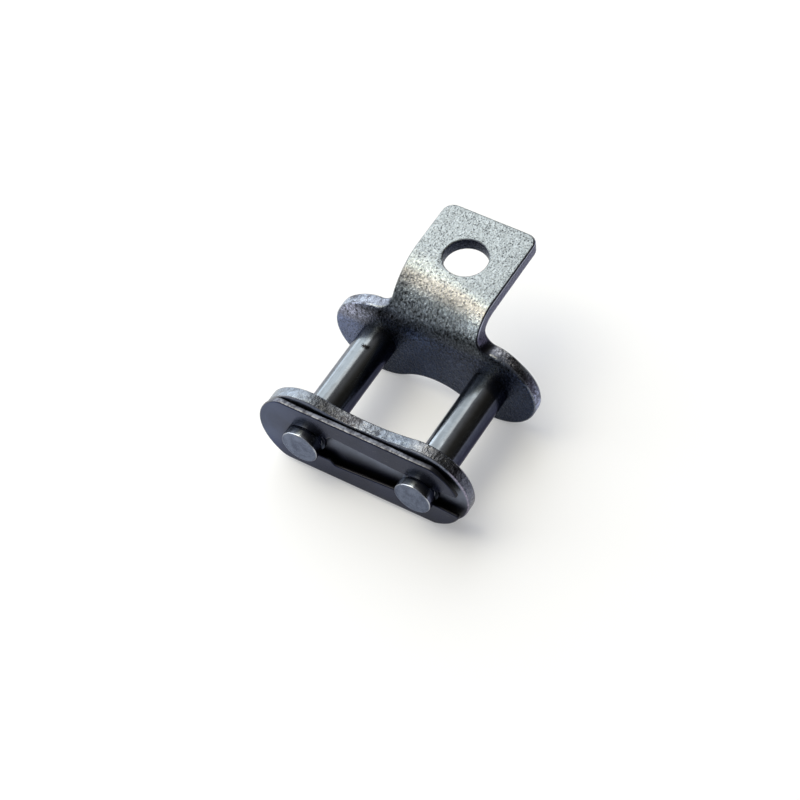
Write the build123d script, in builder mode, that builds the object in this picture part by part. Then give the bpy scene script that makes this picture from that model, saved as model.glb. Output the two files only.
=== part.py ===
"""Connecting link of a half-inch roller chain, with a spring clip and a bent, one-hole attachment tab.

The link stands as it runs in the chain: X along the pitch, Y along the pins towards the
attachment, Z up. The origin is the middle of the link, halfway between the pins and halfway
between the plates, at the height of the pin axes. Lengths are in millimetres.
"""
from build123d import *
from math import sqrt
import os

# ---- Chain ----
pitch = 12.7                    # distance between the pin axes
inner_width = 11.5              # clear width between the two plates
plate_thickness = 1.5

# ---- Pins ----
pin_diameter = 3.96
pin_edge = 0.15                 # chamfer on the clip end
pin_head_length = 1.05          # stub in front of the clip's groove
groove_diameter = 3.2
rivet_diameter = 4.5            # end spread over the attachment plate
rivet_height = 0.6
rivet_edge = 0.3

# ---- Cover plate, loose on the pins ----
cover_lobe_radius = 5.1
cover_waist_height = 8.7        # height of the plate midway between the pins
cover_bore_clearance = 0.03     # radial, around a pin
cover_edge = 0.18               # chamfer of the outline, both faces

# ---- Attachment plate, riveted to the pins ----
attachment_lobe_radius = 5.0
attachment_waist_drop = 2.95    # from the pin axes down to the lower edge, midway
tab_top_height = 8.6            # from the pin axes up to the top of the tab
tab_reach = 18.5                # from the middle of the link out to the tab's end
tab_width = 10.4
tab_corner_radius = 1.25
tab_root_radius = 1.3           # hollow corner between the tab and a lobe
bend_inner_radius = 3.4
tab_hole_reach = 12.95          # from the middle of the link out to the hole
tab_hole_diameter = 4.6

# ---- Spring clip ----
clip_thickness = 0.45
clip_cover_gap = 0.3            # between the clip and the cover plate
clip_groove_play = 0.05         # on each face of the clip
clip_height = 9.0               # over the two arms
clip_nose_radius = 5.25         # closed end, about its pin
clip_tail_radius = 4.75         # open end, about its pin
clip_nose_blend = 1.6           # corners between the nose and the arms
clip_tail_blend = 1.2           # corners between the arms and the tail
clip_seat_clearance = 0.12      # radial, around a groove
clip_slot_clearance = 0.05      # each side of a groove, at the slot's narrow end
clip_slot_flare = 0.65          # the slot widens this much, each side, towards the nose
clip_neck_length = 2.65         # straight seat wall between a pin and the slot's wide end
clip_shoulder_length = 0.5      # slope from the neck out to the slot
clip_slot_end = 1.6             # the slot stops this far short of the open end's pin
clip_nib_bite = 0.35            # how far each nib reaches over the groove
clip_mouth_flare = 0.3          # the mouth opens this much, each side, outside the nibs
clip_corner_radius = 0.3        # corners of the slot, the nibs and the tips
clip_edge = 0.1                 # chamfer of the outline, both faces

# ---- Derived places ----
half_pitch = pitch / 2
pin_radius = pin_diameter / 2
groove_radius = groove_diameter / 2
inner_face = inner_width / 2
outer_face = inner_face + plate_thickness
clip_back = outer_face + clip_cover_gap
clip_front = clip_back + clip_thickness
groove_back = clip_back - clip_groove_play
groove_front = clip_front + clip_groove_play
pin_front = groove_front + pin_head_length
pin_back = outer_face + rivet_height
bend_outer_radius = bend_inner_radius + plate_thickness
bend_start = tab_top_height - bend_outer_radius
web_top = attachment_lobe_radius + tab_root_radius
web_rise = min(max(web_top - bend_start, 0), bend_inner_radius)
web_reach = outer_face + bend_inner_radius - sqrt(bend_inner_radius**2 - web_rise**2)
seat_radius = groove_radius + clip_seat_clearance
pins = [(-half_pitch, 0), (half_pitch, 0)]

os.makedirs("parts", exist_ok=True)


def upright(y):
    """The X-Z plane at this Y, with its normal towards -Y."""
    return Plane.XZ.offset(-y)


def waist(lobe_radius, waist_half):
    """End and middle points of the hollow arc that joins the tops of two lobes."""
    hollow = (half_pitch**2 + waist_half**2 - lobe_radius**2) / (2 * (lobe_radius - waist_half))
    share = lobe_radius / (lobe_radius + hollow)
    end = (half_pitch * (1 - share), (waist_half + hollow) * share)
    return end, (0, waist_half)


def mirrored(point):
    return (-point[0], point[1])


def lowered(point):
    return (point[0], -point[1])


# ---- Cover plate: two lobes and a shallow waist ----
cover_end, cover_middle = waist(cover_lobe_radius, cover_waist_height / 2)
with BuildPart() as cover_plate:
    with BuildSketch(upright(-inner_face)):
        with BuildLine():
            ThreePointArc(mirrored(cover_end), cover_middle, cover_end)
            ThreePointArc(cover_end, (half_pitch + cover_lobe_radius, 0), lowered(cover_end))
            ThreePointArc(lowered(cover_end), lowered(cover_middle), lowered(mirrored(cover_end)))
            ThreePointArc(lowered(mirrored(cover_end)), (-half_pitch - cover_lobe_radius, 0), mirrored(cover_end))
        make_face()
    extrude(amount=plate_thickness)
    cover_rims = cover_plate.faces().filter_by(Axis.Y).edges()
    chamfer(cover_rims, length=cover_edge)
    with BuildSketch(upright(-inner_face)):
        with Locations(*pins):
            Circle(pin_radius + cover_bore_clearance)
    extrude(amount=plate_thickness, mode=Mode.SUBTRACT)
cover_plate.part.label = "cover_plate"

# ---- Attachment plate: the outline seen along the pins and the outline seen from above ----
lobe_end, lobe_middle = waist(attachment_lobe_radius, attachment_waist_drop)
with BuildPart() as plate_blank:
    with BuildSketch(upright(inner_face)) as plate_outline:
        with BuildLine():
            Polyline(lowered(mirrored(lobe_end)), (-half_pitch, 0), (half_pitch, 0), lowered(lobe_end))
            ThreePointArc(lowered(lobe_end), lowered(lobe_middle), lowered(mirrored(lobe_end)))
        make_face()
        with Locations(*pins):
            Circle(attachment_lobe_radius)
        Rectangle(tab_width, tab_top_height, align=(Align.CENTER, Align.MIN))
        root_corners = plate_outline.vertices().filter_by_position(Axis.Y, pin_radius, attachment_lobe_radius)
        fillet(root_corners, radius=tab_root_radius)
    extrude(amount=inner_face - web_reach)
    with BuildSketch(Plane.XY) as tab_outline:
        with Locations((0, inner_face)):
            Rectangle(tab_width, tab_reach - inner_face, align=(Align.CENTER, Align.MIN))
        end_corners = tab_outline.vertices().group_by(Axis.Y)[-1]
        fillet(end_corners, radius=tab_corner_radius)
    extrude(amount=tab_top_height)

# ---- Attachment plate: the bent sheet, cut to both outlines ----
with BuildPart() as attachment_plate:
    with BuildSketch(Plane.YZ):
        with BuildLine():
            front = FilletPolyline(
                (inner_face, -attachment_lobe_radius),
                (inner_face, tab_top_height),
                (tab_reach, tab_top_height),
                radius=bend_outer_radius,
            )
            back = FilletPolyline(
                (outer_face, -attachment_lobe_radius),
                (outer_face, tab_top_height - plate_thickness),
                (tab_reach, tab_top_height - plate_thickness),
                radius=bend_inner_radius,
            )
            Line(front @ 0, back @ 0)
            Line(front @ 1, back @ 1)
        make_face()
    extrude(amount=half_pitch + attachment_lobe_radius, both=True)
    add(plate_blank.part, mode=Mode.INTERSECT)
    with BuildSketch(upright(inner_face)):
        with Locations(*pins):
            Circle(pin_radius)
    extrude(amount=-plate_thickness, mode=Mode.SUBTRACT)
    with BuildSketch(Plane.XY.offset(tab_top_height)):
        with Locations((0, tab_hole_reach)):
            Circle(tab_hole_diameter / 2)
    extrude(amount=-plate_thickness, mode=Mode.SUBTRACT)
attachment_plate.part.label = "attachment_plate"

# ---- Spring clip: nose, two arms and an open tail ----
slot_narrow = groove_radius + clip_slot_clearance
slot_wide = slot_narrow + clip_slot_flare
shoulder_start = -half_pitch + clip_neck_length
shoulder_end = shoulder_start + clip_shoulder_length
slot_end = half_pitch - clip_slot_end
nib_half_gap = groove_radius - clip_nib_bite
nib_x = half_pitch + sqrt(seat_radius**2 - nib_half_gap**2)
tail_x = half_pitch + clip_tail_radius
with BuildPart() as spring_clip:
    with BuildSketch(upright(-clip_back)) as clip_outline:
        Rectangle(pitch, clip_height)
        with Locations(pins[0]):
            Circle(clip_nose_radius)
        with Locations(pins[1]):
            Circle(clip_tail_radius)
        Rectangle(3 * pitch, clip_height, mode=Mode.INTERSECT)
        arm_corners = clip_outline.vertices().group_by(Axis.X)
        fillet(arm_corners[0], radius=clip_nose_blend)
        fillet(arm_corners[-1], radius=clip_tail_blend)
        with Locations(*pins):
            Circle(seat_radius, mode=Mode.SUBTRACT)
        with BuildLine():
            Polyline(
                (-half_pitch, seat_radius),
                (shoulder_start, seat_radius),
                (shoulder_end, slot_wide),
                (slot_end, slot_narrow),
                (half_pitch, seat_radius),
                (half_pitch, -seat_radius),
                (slot_end, -slot_narrow),
                (shoulder_end, -slot_wide),
                (shoulder_start, -seat_radius),
                (-half_pitch, -seat_radius),
                close=True,
            )
        make_face(mode=Mode.SUBTRACT)
        with BuildLine():
            Polyline(
                (half_pitch, nib_half_gap),
                (nib_x, nib_half_gap),
                (tail_x, nib_half_gap + clip_mouth_flare),
                (tail_x, -nib_half_gap - clip_mouth_flare),
                (nib_x, -nib_half_gap),
                (half_pitch, -nib_half_gap),
                close=True,
            )
        make_face(mode=Mode.SUBTRACT)
        inner_corners = clip_outline.vertices().filter_by_position(Axis.Y, -slot_wide - 0.1, slot_wide + 0.1)
        slot_corners = inner_corners.filter_by_position(Axis.X, shoulder_start - 0.1, slot_end + 0.1)
        mouth_corners = inner_corners.filter_by_position(Axis.X, nib_x - 0.1, tail_x)
        fillet(slot_corners + mouth_corners, radius=clip_corner_radius)
    extrude(amount=clip_thickness)
    clip_rims = spring_clip.faces().filter_by(Axis.Y).edges()
    chamfer(clip_rims, length=clip_edge)
spring_clip.part.label = "spring_clip"

# ---- Pins: turned, grooved for the clip and riveted behind the attachment plate ----
for name, pin_x in (("pin_nose", -half_pitch), ("pin_tail", half_pitch)):
    with BuildPart() as pin:
        with BuildSketch(Plane.XY):
            with BuildLine():
                Polyline(
                    (pin_x, -pin_front),
                    (pin_x + pin_radius - pin_edge, -pin_front),
                    (pin_x + pin_radius, -pin_front + pin_edge),
                    (pin_x + pin_radius, -groove_front),
                    (pin_x + groove_radius, -groove_front),
                    (pin_x + groove_radius, -groove_back),
                    (pin_x + pin_radius, -groove_back),
                    (pin_x + pin_radius, outer_face),
                    (pin_x + rivet_diameter / 2, outer_face),
                    (pin_x + rivet_diameter / 2, pin_back - rivet_edge),
                    (pin_x + rivet_diameter / 2 - rivet_edge, pin_back),
                    (pin_x, pin_back),
                    close=True,
                )
            make_face()
        revolve(axis=Axis((pin_x, 0, 0), (0, 1, 0)))
    pin.part.label = name
    export_step(pin.part, f"parts/{name}.step")

for piece in (cover_plate.part, attachment_plate.part, spring_clip.part):
    export_step(piece, f"parts/{piece.label}.step")
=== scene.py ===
"""Looks of the connecting link: dressed metal pieces, pale floor, soft studio light and the camera."""
import math

import bmesh
import bpy
from mathutils import Matrix, Vector


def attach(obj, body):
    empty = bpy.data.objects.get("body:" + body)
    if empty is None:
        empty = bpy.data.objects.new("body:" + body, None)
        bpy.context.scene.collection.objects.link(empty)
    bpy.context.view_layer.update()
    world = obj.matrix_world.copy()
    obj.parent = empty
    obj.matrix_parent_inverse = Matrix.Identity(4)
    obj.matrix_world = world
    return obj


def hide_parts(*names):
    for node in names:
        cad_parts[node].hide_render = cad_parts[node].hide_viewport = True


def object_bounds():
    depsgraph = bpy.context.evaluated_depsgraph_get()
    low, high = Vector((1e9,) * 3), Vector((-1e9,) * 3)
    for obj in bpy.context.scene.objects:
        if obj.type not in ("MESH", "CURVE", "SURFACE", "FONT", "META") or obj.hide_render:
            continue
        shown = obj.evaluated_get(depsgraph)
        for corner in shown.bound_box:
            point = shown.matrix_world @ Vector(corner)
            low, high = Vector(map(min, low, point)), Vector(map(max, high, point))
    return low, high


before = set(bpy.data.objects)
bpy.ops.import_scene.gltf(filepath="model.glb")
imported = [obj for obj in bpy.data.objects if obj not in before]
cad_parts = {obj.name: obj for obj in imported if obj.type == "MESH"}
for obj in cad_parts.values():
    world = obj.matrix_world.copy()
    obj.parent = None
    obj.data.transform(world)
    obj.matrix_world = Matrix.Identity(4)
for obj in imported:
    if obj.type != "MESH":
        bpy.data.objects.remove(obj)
cad_low, cad_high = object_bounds()

# ---- Measures of the link, in millimetres in its own frame: x along the pitch, y along the pins, z up ----
MM = 0.001
PITCH = 12.7
PIN_X = PITCH / 2
BORE_REACH = 2.5
HOLE_Y, HOLE_REACH, HOLE_LEVEL = 12.95, 2.6, 5
WEB_FACE, TAB_TOP, BEND_RADIUS = 5.75, 8.6, 4.9
COVER_MIDDLE = -6.5
CLIP_FRONT, CLIP_BACK = -8.0, -7.55

# What the dressing changes: the conical bend from one side to the other, and the clip's outer edge
BEND_LEFT, BEND_RIGHT = 6.8, 3.3
STRIP_HALF, ROOT_END = 5.2, 6.5
WEB_KEEP, TAB_KEEP = 0.5, 13.5
CLIP_LIP, LIP_START, LIP_WIDTH = 0.2, 3.4, 0.9

# Widths of the softened edges
TUMBLED, HOLE_EDGE, COVER_FRONT_EDGE, COVER_BACK_EDGE, CLIP_EDGE = 0.3, 0.12, 0.09, 0.035, 0.06


# ---- Shader graphs ----
FACTOR_LIMIT = 8  # the largest factor that a gradient can hold


def grey(value):
    return (value, value, value, 1)


class Graph:
    """Adds nodes to a node tree. Values are sockets, numbers or colours, and every sum, mix or ramp is a socket."""

    def __init__(self, tree):
        self.tree = tree

    def feed(self, socket, value):
        """Links value into socket if it is a socket, and writes it there if it is a number or colour."""
        if isinstance(value, bpy.types.NodeSocket):
            self.tree.links.new(value, socket)
        else:
            socket.default_value = value

    def put(self, kind, inputs=(), **settings):
        """A new shader node with its settings and inputs."""
        node = self.tree.nodes.new("ShaderNode" + kind)
        for key, value in settings.items():
            setattr(node, key, value)
        for key, value in dict(inputs).items():
            self.feed(node.inputs[key], value)
        return node

    def ramp(self, value, low, high, to_low, to_high, kind="SMOOTHSTEP"):
        """Maps a value from one range to another, smoothly and without leaving it."""
        inputs = {"Value": value, "From Min": low, "From Max": high, "To Min": to_low, "To Max": to_high}
        return self.put("MapRange", inputs, interpolation_type=kind).outputs["Result"]

    def rise(self, value, low, high):
        return self.ramp(value, low, high, 0.0, 1.0)

    def fall(self, value, low, high):
        return self.ramp(value, low, high, 1.0, 0.0)

    def zone(self, value, low, high, soft):
        """One between two values and zero outside, with soft ends."""
        return self.product(self.rise(value, low - soft, low + soft), self.fall(value, high - soft, high + soft))

    def calc(self, kind, first, second):
        return self.put("Math", {0: first, 1: second}, operation=kind).outputs[0]

    def product(self, first, *others):
        for other in others:
            first = self.calc("MULTIPLY", first, other)
        return first

    def total(self, *parts):
        """Sum of (value, weight) pairs; a weight of one is left out."""
        values = [value if weight == 1 else self.product(value, weight) for value, weight in parts]
        result = values[0]
        for value in values[1:]:
            result = self.calc("ADD", result, value)
        return result

    def noise(self, place, scale, detail=2.0, rough=0.5, twist=0.0):
        inputs = {"Vector": place, "Scale": scale, "Detail": detail, "Roughness": rough, "Distortion": twist}
        return self.put("TexNoise", inputs).outputs["Fac"]

    def blend(self, share, first, second):
        """Colour that goes from first to second with share."""
        node = self.tree.nodes.new("ShaderNodeMix")
        node.data_type = "RGBA"
        self.feed(node.inputs[0], share)
        self.feed(node.inputs[6], first)
        self.feed(node.inputs[7], second)
        return node.outputs[2]

    def dimmed(self, colour, share):
        """A colour, given as a socket or as red, green and blue, times a factor."""
        return self.put("VectorMath", {0: colour, "Scale": share}, operation="SCALE").outputs[0]

    def tinted(self, colour, factors):
        """A colour times a factor for each of red, green and blue."""
        return self.put("VectorMath", {0: colour, 1: factors}, operation="MULTIPLY").outputs[0]

    def gradient(self, value, points):
        """A colour factor that changes with a value, for painted light and shade along the pitch or by the direction
        that the surface faces.

        Points are (value, factor, warmth); warmth takes from blue and adds as much to red.
        """
        first, last = points[0][0], points[-1][0]
        node = self.put("ValToRGB", {0: self.ramp(value, first, last, 0.0, 1.0, "LINEAR")})
        steps = node.color_ramp.elements
        for at, factor, warmth in points:
            step = {first: steps[0], last: steps[-1]}.get(at) or steps.new((at - first) / (last - first))
            step.color = [factor * share / FACTOR_LIMIT for share in (1 + warmth, 1, 1 - warmth)] + [1]
        return self.dimmed(node.outputs["Color"], FACTOR_LIMIT)


class Metal(Graph):
    """A new metallic material. It knows a point's place on the piece in millimetres, as a vector and as x, y and z,
    the x of the surface's direction there, and the rim mask."""

    def __init__(self, name):
        self.material = bpy.data.materials.new(name)
        self.material.use_nodes = True
        super().__init__(self.material.node_tree)
        self.shader = self.tree.nodes["Principled BSDF"]
        self.shader.inputs["Metallic"].default_value = 1
        coordinates = self.put("TexCoord").outputs
        self.place = self.dimmed(coordinates["Object"], 1 / MM)
        axes = self.put("SeparateXYZ", {0: self.place}).outputs
        self.x, self.y, self.z = axes["X"], axes["Y"], axes["Z"]
        self.facing_x = self.put("SeparateXYZ", {0: coordinates["Normal"]}).outputs["X"]
        self.rim = self.put("Attribute", attribute_name="rim").outputs["Fac"]

    def stretched(self, factors):
        """The place with its axes scaled, for noise with a grain."""
        return self.tinted(self.place, factors)

    def edge_band(self):
        """One on the rounded edges, where the rim mask is half way, and zero on the faces and the rim."""
        return self.product(self.rise(self.rim, 0.12, 0.4), self.fall(self.rim, 0.6, 0.9))

    def rim_metal(self, light, dark, factor, calm=0.0):
        """Colour of sheared rims, in coarse light and dark patches that calm evens out, and the patches' relief."""
        relief = self.noise(self.stretched((1.0, 0.8, 1.0)), 1.9, 4.0, 0.65, 0.8)
        both = self.total((relief, 1), (self.noise(self.place, 0.28, 2.0, 0.5), 0.9))
        share = self.blend(calm, self.rise(both, 0.78, 1.14), grey(0.7))
        return self.tinted(self.blend(share, [*dark, 1], [*light, 1]), factor), relief

    def paint(self, colour, shade_reach_mm, shade_floor):
        """Sets the colour, with painted shade in deep corners and between parts that takes it down to the given floor
        share of it.
        """
        seen = self.put("AmbientOcclusion", {"Distance": shade_reach_mm * MM}, samples=8).outputs["AO"]
        unshaded_share = self.ramp(seen, 0.25, 0.85, shade_floor, 1.0, "LINEAR")
        self.feed(self.shader.inputs["Base Color"], self.dimmed(colour, unshaded_share))

    def roughen(self, rough, height, depth_mm):
        """Sets the roughness and a relief of a depth."""
        self.feed(self.shader.inputs["Roughness"], rough)
        bump = self.put("Bump", {"Height": height, "Strength": 1.0, "Distance": depth_mm * MM})
        self.feed(self.shader.inputs["Normal"], bump.outputs[0])


# ---- Painted light and shade along the pitch, or by the direction that the surface faces: (place, factor, warmth) ----
# Web faces: a painted reflection makes the left lobe's face much lighter towards its left end
WEB_LIGHT_AND_SHADE = [
    (-12, 5.1, 0.06), (-9.4, 5.1, 0.06), (-6.0, 1.03, 0), (-5.0, 1.0, -0.1), (-1.0, 1.0, -0.1), (3.0, 1.0, 0.02),
    (12, 0.95, -0.08)]
# Attachment plate rims: painted light and shade along them
PLATE_RIM_LIGHT_AND_SHADE = [
    (-11, 2.1, 0), (-9.4, 2.5, 0), (-8.2, 1.75, 0), (-6, 1.8, 0), (5.5, 2.6, 0.12), (7.2, 2.3, 0.13),
    (8.6, 1.2, 0.13), (9.4, 0.6, 0.1), (10.1, 1.1, 0.0), (10.9, 2.1, -0.1), (11.8, 1.5, -0.1)]
# Cover rims: painted light and shade along them, darkest near the pins
COVER_RIM_LIGHT_AND_SHADE = [
    (-11, 1.15, -0.06), (-9.5, 1.55, -0.04), (-8.2, 1.0, -0.04), (-7.3, 0.85, -0.02), (-4.8, 0.24, 0.1),
    (-3.2, 0.46, 0.08), (-1.9, 1.2, 0.08), (-0.8, 0.95, 0.06), (1.5, 0.72, -0.02), (3.2, 1.02, -0.04),
    (4.6, 0.72, -0.06), (6.5, 1.1, 0.09), (8, 0.65, 0.1), (9.4, 0.2, 0.02), (10, 0.16, -0.02), (11.2, 0.5, -0.12)]
# Pin sides by the way they face: painted highlights, strongest on the left-facing side
PIN_SIDE_LIGHT_AND_SHADE = [
    (-1, 1.3, 0), (-0.7, 1.7, -0.05), (-0.5, 1.9, -0.03), (-0.32, 1.1, -0.06), (-0.1, 1.05, -0.05), (0.1, 1.45, 0),
    (0.28, 1.15, 0.07), (0.5, 1.0, 0.05), (0.7, 1.7, 0), (0.9, 1.1, 0)]

# Painted highlight and shade spots of the bend: (low, high) height, (start, end) along the pitch, factor
BEND_LIGHT_AND_SHADE_SPOTS = [
    ((6.3, 8.2), (2.6, 5.0), 2.0), ((5.2, 7.3), (-2.8, -5.0), 0.62), ((4.1, 5.8), (-0.5, 3.5), 0.62),
    ((2.4, 4.0), (0.5, -2.5), 1.8)]


def plate_face(m, fine, slow, marks):
    """Colour of the attachment plate's faces: the web painted dark in shade against the pale tab, painted light and
    shade on the flecked bend with a painted warm highlight band and a cool band, pits.
    """
    # Painted shade: the web much darker than the pale tab, with the web's painted light and shade along the pitch
    shaded_web = m.tinted(m.gradient(m.x, WEB_LIGHT_AND_SHADE), (0.033, 0.042, 0.072))
    face = m.blend(m.ramp(m.z, 3.7, 7.4, 0.0, 1.0, "LINEAR"), shaded_web, (0.275, 0.298, 0.295, 1))
    cloudy_bend, cloudy_tab = m.ramp(slow, 0.35, 0.65, 0.86, 1.12), m.ramp(slow, 0.35, 0.65, 0.95, 1.04)
    face = m.dimmed(face, m.blend(m.rise(m.z, 7.8, 8.5), cloudy_bend, cloudy_tab))
    # Painted light and shade below the tab: lighter towards the right
    painted_light_rightwards = m.ramp(m.x, -5.0, 5.0, 0.78, 1.15, "LINEAR")
    face = m.dimmed(face, m.blend(m.rise(m.z, 7.0, 8.3), painted_light_rightwards, grey(1.04)))
    # Painted highlight and shade spots on the bend
    for (low, high), (start, end), factor in BEND_LIGHT_AND_SHADE_SPOTS:
        share = m.product(m.zone(m.z, low, high, 0.3), m.rise(m.x, start, end))
        face = m.dimmed(face, m.blend(share, grey(1.0), grey(factor)))

    under_bend = m.product(m.zone(m.z, 1.6, 4.4, 0.6), m.fall(m.x, -3.8, -2.4))
    face = m.blend(under_bend, face, m.tinted(face, (1.15, 1.0, 0.8)))
    behind = m.product(m.rise(m.y, 6.3, 7.0), m.fall(m.z, 2.0, 5.0))
    face = m.blend(behind, face, m.tinted(face, (1.25, 1.1, 0.82)))
    # Painted warm highlight band across the top of the bend, slanted along the pitch
    slanted = m.calc("SUBTRACT", m.z, m.product(m.x, 0.08))
    warm_highlight_band = m.product(m.rise(slanted, 7.1, 8.0), m.fall(slanted, 8.25, 8.6), m.fall(m.z, 8.4, 8.58))
    face = m.blend(warm_highlight_band, face, m.tinted(face, (0.87, 0.78, 0.74)))
    cool = m.product(m.rise(m.z, 4.5, 5.5), m.fall(m.z, 7.2, 7.9))
    face = m.blend(cool, face, m.tinted(face, (1.06, 1.08, 1.1)))
    face = m.dimmed(face, m.ramp(m.x, 3.0, 7.0, 1.0, 0.85))

    grain = m.noise(m.stretched((1.0, 0.75, 0.75)), 4.6, 2.0, 0.6, 0.4)
    flecks = m.calc("SUBTRACT", m.ramp(grain, 0.32, 0.68, -0.1, 2.1, "LINEAR"), 1.0)
    strained = m.product(m.ramp(m.z, 0.0, 3.5, 0.2, 0.95), m.ramp(m.z, 6.4, 8.4, 1.0, 0.2))
    face = m.dimmed(face, m.calc("ADD", m.product(flecks, strained), 1.0))
    return m.blend(m.product(marks, 0.82), face, (0.03, 0.03, 0.034, 1))


def attachment_metal():
    """Shot-blasted and tumbled sheet: mottled sheared rims with painted light and shade along them, worn lower edges
    with a painted highlight, a sharp dark line along the tab that is a painted dark reflection with a painted
    highlight beside it, painted shade in the hole and in corners.
    """
    m = Metal("attachment_steel")
    m.shader.inputs["Specular Tint"].default_value = (0.8, 0.82, 0.86, 1)
    grain = m.noise(m.stretched((1.0, 0.6, 0.6)), 4.2, 2.5, 0.6, 0.3)
    fine = m.noise(m.place, 11.0, 2.0, 0.6)
    slow = m.noise(m.place, 0.35, 3.0, 0.55)
    cells = m.put("TexVoronoi", {"Vector": m.place, "Scale": 2.9, "Randomness": 1.0}, feature="F1").outputs
    pits = m.product(m.fall(cells["Distance"], 0.17, 0.28), m.ramp(cells["Color"], 0.3, 0.65, 0.15, 1.0))
    marks = m.calc("MAXIMUM", pits, m.ramp(m.noise(m.place, 6.5, 1.0), 0.58, 0.7, 0.0, 0.7))
    face = plate_face(m, fine, slow, marks)

    # Painted light and shade along the rims
    light_along_pitch = m.gradient(m.x, PLATE_RIM_LIGHT_AND_SHADE)
    low_rim, relief = m.rim_metal((0.208, 0.234, 0.275), (0.026, 0.026, 0.032), light_along_pitch)
    low_rim = m.dimmed(low_rim, m.ramp(fine, 0.3, 0.7, 0.5, 1.5))
    # Lilac at the right end of the rims, a painted reflection colour
    low_rim = m.tinted(low_rim, m.blend(m.rise(m.x, 9.8, 10.8), grey(1.0), (1.08, 0.95, 1.08, 1)))
    on_tab = m.rise(m.z, 4.5, 5.5)
    right_side = m.product(m.rise(m.x, 4.3, 4.9), on_tab)
    # Tab rims darker lower down: painted shade
    tab_rim = m.blend(m.rise(m.z, 6.0, 8.2), (0.058, 0.055, 0.09, 1), (0.084, 0.083, 0.142, 1))
    tab_rim = m.blend(right_side, (0.076, 0.08, 0.1, 1), tab_rim)
    tab_rim = m.dimmed(tab_rim, m.ramp(fine, 0.3, 0.7, 0.7, 1.3))
    on_rim = m.calc("MAXIMUM", m.rise(m.rim, 0.45, 0.8), m.product(right_side, m.rise(m.rim, 0.22, 0.36)))
    colour = m.blend(on_rim, face, m.blend(on_tab, low_rim, tab_rim))

    edges = m.edge_band()
    # Lighter lower edges: wear and a painted highlight
    worn_and_highlight = m.product(edges, m.ramp(fine, 0.4, 0.75, 0.15, 0.85), m.fall(m.z, 4.5, 5.5))
    colour = m.blend(worn_and_highlight, colour, (0.3, 0.32, 0.35, 1))
    # Painted dark reflection along the tab's right edge, and a painted highlight beside it
    painted_dark_reflection = m.product(m.rise(m.rim, 0.01, 0.05), m.fall(m.rim, 0.22, 0.36), right_side)
    colour = m.blend(painted_dark_reflection, colour, (0.012, 0.012, 0.018, 1))
    painted_highlight = m.product(m.rise(m.rim, 0.28, 0.42), m.fall(m.rim, 0.6, 0.95), m.ramp(m.z, 6.2, 7.8, 0.0, 0.9), right_side)
    colour = m.blend(painted_highlight, colour, (0.42, 0.44, 0.55, 1))
    # Painted shade on the hole's walls
    shaded_hole = m.rise(m.rim, 1.2, 1.8)
    colour = m.tinted(colour, m.blend(shaded_hole, grey(1.0), (0.43, 0.48, 0.62, 1)))
    # Painted shade in corners and between parts
    m.paint(colour, 6, 0.2)

    rough = m.calc("SUBTRACT", m.ramp(grain, 0.3, 0.7, 0.34, 0.2), m.product(edges, 0.12))
    height = m.product(m.total((grain, 0.75), (fine, 0.22)), m.ramp(m.z, 8.2, 8.55, 1.0, 0.55))
    height = m.total((height, 1), (marks, -0.25), (m.product(relief, m.rim), 0.6))
    m.roughen(rough, m.product(height, m.ramp(edges, 0.0, 1.0, 1.0, 0.1)), 0.12)
    return m.material


def cover_metal():
    """Smooth, dark faces with painted shade low down and a lighter painted reflection higher up, coarse mottled rims
    with painted light and shade along them, darkest near the pins, worn edges with a painted highlight, and painted
    shade in corners.
    """
    m = Metal("cover_steel")
    grain = m.noise(m.stretched((1.0, 0.6, 1.0)), 4.2, 3.0, 0.6, 0.3)
    slow = m.noise(m.place, 0.35, 3.0, 0.55)
    face = m.dimmed((0.097, 0.111, 0.148), m.ramp(slow, 0.35, 0.65, 0.85, 1.15))
    # Painted shade on the lower face, seen in the clip's slot, and a lighter painted reflection above it
    face = m.tinted(face, m.blend(m.rise(m.z, -1.2, 1.0), (0.13, 0.135, 0.2, 1), grey(1.45)))
    # Painted light and shade along the rims
    light_along_pitch = m.gradient(m.x, COVER_RIM_LIGHT_AND_SHADE)
    calm = m.calc("MAXIMUM", m.ramp(m.x, 1.0, 3.0, 0.0, 0.6), m.ramp(m.x, -8.5, -6.5, 0.6, 0.0))
    rim_colour, relief = m.rim_metal((0.285, 0.315, 0.35), (0.048, 0.048, 0.054), light_along_pitch, calm)
    right_end = m.rise(m.x, 8.8, 10.0)
    # Lilac at the right end of the rims, a painted reflection colour
    rim_colour = m.tinted(rim_colour, m.blend(right_end, grey(1.0), (1.2, 1.04, 1.16, 1)))
    colour = m.blend(m.rise(m.rim, 0.45, 0.8), face, rim_colour)
    # Edges: wear and a painted highlight, strongest at the right end
    rubbed_and_highlight = m.blend(right_end, (0.3, 0.31, 0.33, 1), (0.29, 0.265, 0.34, 1))
    share = m.product(m.edge_band(), m.ramp(grain, 0.35, 0.6, 0.2, 1.0), m.calc("MAXIMUM", light_along_pitch, right_end))
    # Painted shade in corners and between parts
    m.paint(m.blend(share, colour, rubbed_and_highlight), 4, 0.15)

    cells = m.put("TexVoronoi", {"Vector": m.stretched((0.8, 1.0, 0.8)), "Scale": 1.3, "Randomness": 0.85},
                  feature="F1").outputs
    dents = m.product(m.rise(cells["Distance"], 0.0, 0.6), m.ramp(m.x, -2.0, 0.5, 0.2, 1.0))
    height = m.total((grain, 0.55), (relief, 0.8), (dents, 0.5))
    m.roughen(m.blend(m.rim, grey(0.36), m.ramp(grain, 0.3, 0.7, 0.3, 0.2)), m.product(height, m.rim), 0.14)
    return m.material


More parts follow.
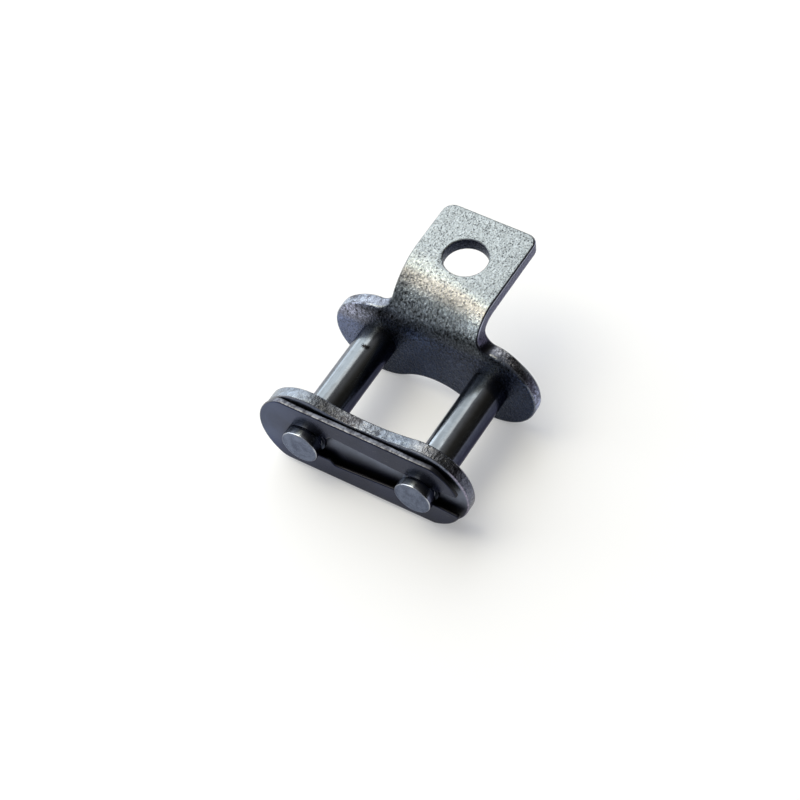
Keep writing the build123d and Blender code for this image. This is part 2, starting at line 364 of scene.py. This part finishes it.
def clip_metal():
    """Smooth, dark blued spring steel, lighter at the nose, with painted shade on the lower arm and towards the right
    end, faint scratches, speckled sheared upper edges that go dark at the right end as painted shade, and painted
    shade in corners.
    """
    m = Metal("clip_steel")
    slow = m.noise(m.place, 0.4, 2.0, 0.5)
    fine = m.noise(m.place, 9.0, 2.0, 0.6)
    at_nose = m.ramp(m.x, -10.8, -4.8, 1.0, 0.0, "LINEAR")
    face = m.blend(at_nose, (0.021, 0.026, 0.05, 1), (0.044, 0.059, 0.11, 1))
    # Painted shade on the lower arm here, and towards the right end two lines down
    face = m.tinted(face, m.blend(m.rise(m.z, -3.0, -1.5), (0.48, 0.56, 0.78, 1), grey(1.0)))
    face = m.dimmed(face, m.ramp(slow, 0.35, 0.65, 0.85, 1.15))
    face = m.dimmed(face, m.ramp(m.x, 5.0, 10.0, 1.0, 0.8))
    scratch = m.noise(m.stretched((0.5, 1.0, 9.0)), 1.6, 2.0, 0.5, 0.4)
    face = m.blend(m.ramp(scratch, 0.68, 0.76, 0.0, 0.5), face, (0.14, 0.145, 0.17, 1))

    torn = m.total((m.noise(m.place, 3.4, 3.0, 0.7), 0.6), (m.noise(m.place, 0.9, 1.5, 0.5), 0.4))
    sheared = m.blend(m.rise(torn, 0.38, 0.62), (0.034, 0.035, 0.043, 1), (0.148, 0.155, 0.178, 1))
    # Speckled sheared colour only on the upper rim; its dark right end is painted shade
    lit_upper_rim = m.product(m.rise(m.z, -0.5, 1.5), m.fall(m.x, 5.8, 8.2))
    sheared = m.blend(lit_upper_rim, (0.035, 0.035, 0.04, 1), sheared)
    # Painted shade in corners and between parts
    m.paint(m.blend(m.rise(m.rim, 0.08, 0.35), face, sheared), 3, 0.4)
    rough = m.blend(m.rise(m.rim, 0.2, 0.8), m.ramp(fine, 0.3, 0.7, 0.17, 0.24), grey(0.42))
    m.roughen(rough, m.total((fine, 1), (slow, 2.0)), 0.006)
    return m.material


def pin_metal():
    """Ground pins: streaks along them, painted highlights on the left-facing side and painted shade on the
    right-facing side, a nick, small dents on the flat ends, worn end edges with a painted highlight, painted shade in
    corners.
    """
    m = Metal("pin_steel")
    m.shader.inputs["Specular Tint"].default_value = (0.55, 0.54, 0.6, 1)
    lines = m.noise(m.stretched((0.35, 7.0, 0.35)), 2.6, 3.0, 0.6)
    streaks = m.noise(m.stretched((1.3, 0.1, 1.3)), 1.0, 2.0, 0.5, 0.3)
    cloudy = m.noise(m.place, 1.1, 3.0, 0.6, 0.4)
    fine = m.noise(m.place, 8.0, 2.0, 0.6)
    both = m.total((streaks, 0.7), (cloudy, 0.3))
    side = m.blend(m.rise(both, 0.4, 0.6), (0.13, 0.137, 0.138, 1), (0.185, 0.197, 0.2, 1))
    side = m.blend(m.ramp(lines, 0.5, 0.72, 0.0, 0.2), side, (0.1, 0.1, 0.1, 1))
    # Painted highlights by the way the side faces
    side = m.tinted(side, m.gradient(m.facing_x, PIN_SIDE_LIGHT_AND_SHADE))
    side = m.dimmed(side, m.ramp(m.y, -8.3, -8.0, 1.5, 1.0))
    # Painted shade on the right-facing side
    side = m.blend(m.rise(m.facing_x, 0.5, 0.95), side, m.tinted(side, (0.24, 0.25, 0.385)))
    nick = m.put("VectorMath", {0: m.stretched((0.7, 1.3, 0.7)), 1: (-4.27, 4.18, 1.37)},
                 operation="DISTANCE").outputs["Value"]
    side = m.blend(m.fall(m.total((nick, 1), (fine, 0.8)), 0.6, 0.8), side, (0.012, 0.01, 0.01, 1))

    mottle = m.total((fine, 0.4), (cloudy, 0.6))
    end = m.blend(m.rise(mottle, 0.38, 0.62), (0.1, 0.119, 0.162, 1), (0.178, 0.208, 0.27, 1))
    # End edges: wear and a painted highlight
    worn_and_highlight = m.product(m.edge_band(), m.ramp(cloudy, 0.4, 0.6, 0.7, 1.0))
    # Painted shade in corners and between parts
    m.paint(m.blend(worn_and_highlight, m.blend(m.rim, side, end), (0.5, 0.52, 0.57, 1)), 2, 0.75)
    rough = m.total((m.ramp(lines, 0.3, 0.7, 0.15, 0.22), 1), (m.rim, 0.12))
    m.roughen(rough, m.total((lines, 0.25), (m.product(fine, m.rim), 3.0)), 0.008)
    return m.material


plate_look, cover_look, clip_look, pin_look = attachment_metal(), cover_metal(), clip_metal(), pin_metal()


# ---- Mesh helpers, all in the link's own frame and in millimetres ----
def taken(name):
    """A clean copy of a CAD node's mesh."""
    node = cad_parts[name]
    mesh = bmesh.new()
    mesh.from_mesh(node.data)
    mesh.transform(Matrix.Scale(1 / MM, 4) @ node.matrix_world)
    bmesh.ops.remove_doubles(mesh, verts=mesh.verts, dist=0.001)
    bmesh.ops.dissolve_limit(mesh, angle_limit=math.radians(0.6), verts=mesh.verts, edges=mesh.edges)
    return mesh


def cut(mesh, axis, places):
    """Splits the faces along planes across an axis, so that a later move bends them smoothly."""
    normal = Vector([float(k == axis) for k in range(3)])
    for place in places:
        everything = mesh.verts[:] + mesh.edges[:] + mesh.faces[:]
        bmesh.ops.bisect_plane(mesh, geom=everything, dist=1e-4, plane_co=normal * place, plane_no=normal)


def sharp(mesh, degrees, test=lambda point: True):
    """Edges where the surface turns by more than an angle, at places that pass a test."""
    found = []
    for edge in mesh.edges:
        if len(edge.link_faces) == 2 and edge.calc_face_angle() > math.radians(degrees):
            middle = (edge.verts[0].co + edge.verts[1].co) / 2
            if test(middle):
                found.append(edge)
    return found


def rounded(mesh, edges, width, segments):
    bmesh.ops.bevel(mesh, geom=edges, offset=width, offset_type="OFFSET", segments=segments, profile=0.5,
                    affect="EDGES", clamp_overlap=False)


def off_bores(point):
    return min(math.hypot(point.x - pin_x, point.z) for pin_x in (-PIN_X, PIN_X)) > BORE_REACH


def by_hole(point):
    return math.hypot(point.x, point.y - HOLE_Y) < HOLE_REACH and point.z > HOLE_LEVEL


def rim_mask(mesh, sheet_normal):
    """Rim mask of each face corner: 0 on the faces of the sheet, 1 on its rims, between them on rounded edges."""
    bmesh.ops.recalc_face_normals(mesh, faces=mesh.faces)
    mesh.normal_update()
    values = []
    for face in mesh.faces:
        whole = 1 - abs(face.normal.dot(sheet_normal(face.calc_center_median())))
        for loop in face.loops:
            own = 1 - abs(loop.vert.normal.dot(sheet_normal(loop.vert.co)))
            values.append(0.0 if whole < 0.005 else 1.0 if whole > 0.995 else own)
    return values


def along_pins(point):
    return Vector((0, 1, 0))


def shown(mesh, node, body, material, rims, smooth_angle=40):
    """Turns a mesh into the piece that stands in for a CAD node; rims holds the rim mask of each face corner."""
    bmesh.ops.recalc_face_normals(mesh, faces=mesh.faces)
    mesh.transform(Matrix.Scale(MM, 4))
    data = bpy.data.meshes.new("dressed_" + node)
    mesh.to_mesh(data)
    mesh.free()
    data.attributes.new("rim", "FLOAT", "CORNER").data.foreach_set("value", rims)
    data.polygons.foreach_set("use_smooth", [True] * len(data.polygons))
    data.set_sharp_from_angle(angle=math.radians(smooth_angle))
    data.materials.append(material)
    piece = bpy.data.objects.new("dressed_" + node, data)
    bpy.context.scene.collection.objects.link(piece)
    weights = piece.modifiers.new("even_shading", "WEIGHTED_NORMAL")
    weights.keep_sharp = True
    weights.weight = 100
    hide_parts(node)
    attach(piece, body)


def smoothstep(value):
    value = min(max(value, 0), 1)
    return value * value * (3 - 2 * value)


# ---- Attachment plate: a conical bend, wide at the clip's nose end, and tumbled edges ----
def local_radius(x):
    """Outer radius of the bend at a place along the pitch; the lobes keep the solid's."""
    share = min(max((x + STRIP_HALF) / (2 * STRIP_HALF), 0), 1)
    radius = BEND_LEFT + (BEND_RIGHT - BEND_LEFT) * share
    root_start = STRIP_HALF - 0.2
    return radius + (BEND_RADIUS - radius) * smoothstep((abs(x) - root_start) / (ROOT_END - root_start))


def bent(point):
    """Moves a point of the evenly bent sheet to its place on the conical one."""
    arc = BEND_RADIUS * math.pi / 2
    arc_y, arc_z = WEB_FACE + BEND_RADIUS, TAB_TOP - BEND_RADIUS
    if point.y > arc_y:
        along, deep = arc + point.y - arc_y, TAB_TOP - point.z
    elif point.z < arc_z:
        along, deep = point.z - arc_z, point.y - WEB_FACE
    else:
        turn = math.atan2(point.z - arc_z, arc_y - point.y)
        along, deep = BEND_RADIUS * turn, BEND_RADIUS - math.hypot(point.z - arc_z, arc_y - point.y)
    low, high = WEB_KEEP - arc_z, arc + TAB_KEEP - arc_y
    if not low < along < high:
        return point.copy()
    radius = local_radius(point.x)
    new_low = WEB_KEEP - (TAB_TOP - radius)
    new_high = radius * math.pi / 2 + TAB_KEEP - (WEB_FACE + radius)
    along = new_low + (along - low) * (new_high - new_low) / (high - low)
    arc = radius * math.pi / 2
    if along < 0:
        return Vector((point.x, WEB_FACE + deep, TAB_TOP - radius + along))
    if along > arc:
        return Vector((point.x, WEB_FACE + radius + along - arc, TAB_TOP - deep))
    turn = along / radius
    reach = radius - deep
    return Vector((point.x, WEB_FACE + radius - reach * math.cos(turn), TAB_TOP - radius + reach * math.sin(turn)))


def along_thickness(point):
    """Direction square to the evenly bent sheet at a point."""
    if point.y > WEB_FACE + BEND_RADIUS:
        return Vector((0, 0, 1))
    if point.z < TAB_TOP - BEND_RADIUS:
        return Vector((0, -1, 0))
    return Vector((0, point.y - WEB_FACE - BEND_RADIUS, point.z - TAB_TOP + BEND_RADIUS)).normalized()


mesh = taken("attachment_plate")
rounded(mesh, sharp(mesh, 35, lambda point: off_bores(point) and not by_hole(point)), TUMBLED, 4)
rounded(mesh, sharp(mesh, 35, by_hole), HOLE_EDGE, 2)
cut(mesh, 0, (-6.5, -5.9, -5.5, -5.0, -2.5, 0, 2.5, 5.0, 5.5, 5.9, 6.5))
cut(mesh, 2, (0.5, 1, 1.5, 2, 2.5, 3, 3.4, 3.7, 4.3, 4.9))
cut(mesh, 1, (10.65, 11, 11.5, 12, 12.5, 13, 13.5))
bmesh.ops.dissolve_degenerate(mesh, dist=0.001, edges=mesh.edges)
rims = rim_mask(mesh, along_thickness)
corners = [loop.vert.co for face in mesh.faces for loop in face.loops]
# Rim mask raised to 2 on the hole's walls, where the material paints shade
rims = [rim * 2 if by_hole(corner) else rim for rim, corner in zip(rims, corners)]
for vertex in mesh.verts:
    vertex.co = bent(vertex.co)
shown(mesh, "attachment_plate", "pin_link", plate_look, rims)


# ---- Cover plate: softened edges ----
mesh = taken("cover_plate")
rounded(mesh, sharp(mesh, 30, lambda point: off_bores(point) and point.y < COVER_MIDDLE), COVER_FRONT_EDGE, 2)
rounded(mesh, sharp(mesh, 60, lambda point: off_bores(point) and point.y > COVER_MIDDLE), COVER_BACK_EDGE, 2)
shown(mesh, "cover_plate", "cover", cover_look, rim_mask(mesh, along_pins), 50)


# ---- Clip: softened edges, the outer edge of both arms pressed a little towards the cover ----
mesh = taken("spring_clip")
rounded(mesh, sharp(mesh, 30), CLIP_EDGE, 2)
cut(mesh, 2, [side * height for side in (-1, 1) for height in (LIP_START, 3.65, 3.9, 4.15)])
rims = rim_mask(mesh, along_pins)
for vertex in mesh.verts:
    pressed = CLIP_LIP * smoothstep((abs(vertex.co.z) - LIP_START) / LIP_WIDTH)
    vertex.co.y += pressed * (vertex.co.y - CLIP_FRONT) / (CLIP_BACK - CLIP_FRONT)
shown(mesh, "spring_clip", "clip", clip_look, rims, 50)


# ---- Pins: turned with small roundings, the back end spread by the riveting die ----
def turned(profile, around):
    """A solid of revolution about the pin's axis from (radius, place along Y) points."""
    mesh = bmesh.new()
    rings = []
    for radius, y in profile:
        if radius == 0:
            rings.append([mesh.verts.new((0, y, 0))])
        else:
            steps = [2 * math.pi * k / around for k in range(around)]
            rings.append([mesh.verts.new((radius * math.cos(a), y, radius * math.sin(a))) for a in steps])
    for first, second in zip(rings, rings[1:]):
        for k in range(around):
            after = (k + 1) % around
            if len(first) == 1:
                mesh.faces.new((first[0], second[k], second[after]))
            elif len(second) == 1:
                mesh.faces.new((first[k], second[0], first[after]))
            else:
                mesh.faces.new((first[k], second[k], second[after], first[after]))
    return mesh


def rounding(radius, y, size, at_front):
    """Profile points of the small rounding at the front or the back of a part of the pin."""
    points = []
    for step in range(5):
        a = step / 4 * math.pi / 2
        if at_front:
            points.append((radius - size + size * math.sin(a), y + size - size * math.cos(a)))
        else:
            points.append((radius - size + size * math.cos(a), y - size + size * math.sin(a)))
    return points


PIN_RADIUS, GROOVE_RADIUS, RIVET_RADIUS = 1.98, 1.6, 2.25
HEAD_FRONT, GROOVE_FRONT, GROOVE_BACK, RIVET_FRONT, RIVET_BACK = -9.1, -8.05, -7.5, 7.25, 7.85
CHAMFER = 0.02

pin_profile = [
    (0, HEAD_FRONT), (1.0, HEAD_FRONT), (1.7, HEAD_FRONT), *rounding(PIN_RADIUS, HEAD_FRONT, 0.15, True),
    (PIN_RADIUS, -8.3), (PIN_RADIUS, -8.09), (PIN_RADIUS - CHAMFER, GROOVE_FRONT),
    (GROOVE_RADIUS + CHAMFER, GROOVE_FRONT), (GROOVE_RADIUS, GROOVE_FRONT + CHAMFER),
    (GROOVE_RADIUS, GROOVE_BACK - CHAMFER), (GROOVE_RADIUS + CHAMFER, GROOVE_BACK),
    (PIN_RADIUS - CHAMFER, GROOVE_BACK), (PIN_RADIUS, -7.46), (PIN_RADIUS, 0), (PIN_RADIUS, RIVET_FRONT),
    (RIVET_RADIUS, RIVET_FRONT), *rounding(RIVET_RADIUS, RIVET_BACK, 0.3, False),
    (1.6, RIVET_BACK), (1.5, 7.78), (0.9, 7.74), (0, 7.72)]
for name, pin_x in (("pin_nose", -PIN_X), ("pin_tail", PIN_X)):
    mesh = turned(pin_profile, 96)
    mesh.transform(Matrix.Translation((pin_x, 0, 0)))
    ends = [1 - rim for rim in rim_mask(mesh, along_pins)]
    shown(mesh, name, "pin_link", pin_look, ends)


# ---- Floor: white paper that takes part of its white from the light on it, so the shadow stays soft ----
FLOOR_HALF = 3.0

paper = bpy.data.materials.new("white_paper")
paper.use_nodes = True
graph = Graph(paper.node_tree)
shader = graph.tree.nodes["Principled BSDF"]
shader.inputs["Roughness"].default_value = 0.9
shader.inputs["Specular IOR Level"].default_value = 0.1
rays = graph.put("LightPath").outputs
seen = graph.calc("MAXIMUM", rays["Is Glossy Ray"], rays["Is Transmission Ray"])
seen = graph.calc("MAXIMUM", rays["Is Camera Ray"], seen)
graph.feed(shader.inputs["Base Color"], graph.blend(seen, grey(0.94), grey(0.66)))
shader.inputs["Emission Color"].default_value = grey(1)
graph.feed(shader.inputs["Emission Strength"], graph.product(seen, 0.31))

floor_mesh = bpy.data.meshes.new("floor")
floor_corners = [(x * FLOOR_HALF, y * FLOOR_HALF, 0) for x, y in ((-1, -1), (1, -1), (1, 1), (-1, 1))]
floor_mesh.from_pydata(floor_corners, [], [(0, 1, 2, 3)])
floor_mesh.materials.append(paper)
floor = bpy.data.objects.new("floor", floor_mesh)
floor.location.z = cad_low.z
bpy.context.scene.collection.objects.link(floor)


# ---- World: an even grey room, slightly blue, dark and a little warm towards the back right ----
DARK_SIDE = (0.94, 0.342, 0)

world = bpy.data.worlds.new("studio")
bpy.context.scene.world = world
world.use_nodes = True
graph = Graph(world.node_tree)
background = graph.tree.nodes["Background"].inputs
direction = graph.put("TexCoord").outputs["Generated"]
to_dark = graph.put("VectorMath", {0: direction, 1: DARK_SIDE}, operation="DOT_PRODUCT").outputs["Value"]
graph.feed(background["Strength"], graph.ramp(to_dark, 0.0, 0.85, 0.38, 0.04))
graph.feed(background["Color"], graph.blend(graph.rise(to_dark, 0.3, 0.85), (0.93, 0.98, 1.12, 1),
                                            (1.1, 1.05, 0.95, 1)))


# ---- Lamps ----
def lamp(name, azimuth, elevation, distance, size, radiance, colour):
    """An elliptic soft lamp that faces the link, azimuth from +Y towards +X; radiance is what a mirror of it shows."""
    data = bpy.data.lights.new(name, "AREA")
    data.shape = "ELLIPSE"
    data.size, data.size_y = size
    data.energy = radiance * math.pi * math.pi * size[0] * size[1] / 4
    data.color = colour
    light = bpy.data.objects.new(name, data)
    azimuth, elevation = math.radians(azimuth), math.radians(elevation)
    towards = Vector((math.sin(azimuth) * math.cos(elevation), math.cos(azimuth) * math.cos(elevation),
                      math.sin(elevation)))
    light.location = towards * distance
    light.rotation_euler = towards.to_track_quat("Z", "Y").to_euler()
    bpy.context.scene.collection.objects.link(light)


lamp("window", azimuth=-70, elevation=38, distance=1.4, size=(2.6, 2.1), radiance=2.15, colour=(0.98, 1.0, 1.02))
lamp("window_foot", azimuth=-66, elevation=3, distance=1.3, size=(1.2, 0.36), radiance=0.8, colour=(0.72, 0.98, 1.25))
lamp("warm_panel", azimuth=-105, elevation=66, distance=1.0, size=(0.65, 0.65), radiance=3.5, colour=(1.08, 1.0, 0.74))


# ---- Camera, as fitted to the photo: angles in radians, offset from the fit's origin in pitches ----
CAMERA_AZIMUTH, CAMERA_ELEVATION, CAMERA_ROLL = 0.64248, 0.92830, -0.12590
CAMERA_OFFSET = (0.29214, 0.48359, 19.88159)
FIT_ORIGIN = Vector((0, -7.908 * MM, 0))
FOCAL_PIXELS, PHOTO_PIXELS, SENSOR_WIDTH = 2638.314, 800, 36

backwards = Vector((math.sin(CAMERA_AZIMUTH) * math.cos(CAMERA_ELEVATION),
                    -math.cos(CAMERA_AZIMUTH) * math.cos(CAMERA_ELEVATION), math.sin(CAMERA_ELEVATION)))
level_right = backwards.cross(Vector((0, 0, 1))).normalized() * -1
level_up = backwards.cross(level_right)
right = math.cos(CAMERA_ROLL) * level_right + math.sin(CAMERA_ROLL) * level_up
up = math.cos(CAMERA_ROLL) * level_up - math.sin(CAMERA_ROLL) * level_right
place = FIT_ORIGIN.copy()
for distance, axis in zip(CAMERA_OFFSET, (right, up, backwards)):
    place += distance * PITCH * MM * axis
data = bpy.data.cameras.new("camera")
data.sensor_width = SENSOR_WIDTH
data.lens = FOCAL_PIXELS / PHOTO_PIXELS * SENSOR_WIDTH
data.clip_start, data.clip_end = 0.01, 20
camera = bpy.data.objects.new("camera", data)
camera.matrix_world = Matrix.Translation(place) @ Matrix((right, up, backwards)).transposed().to_4x4()
bpy.context.scene.collection.objects.link(camera)
bpy.context.scene.camera = camera
bpy.context.scene.view_settings.view_transform = "Standard"
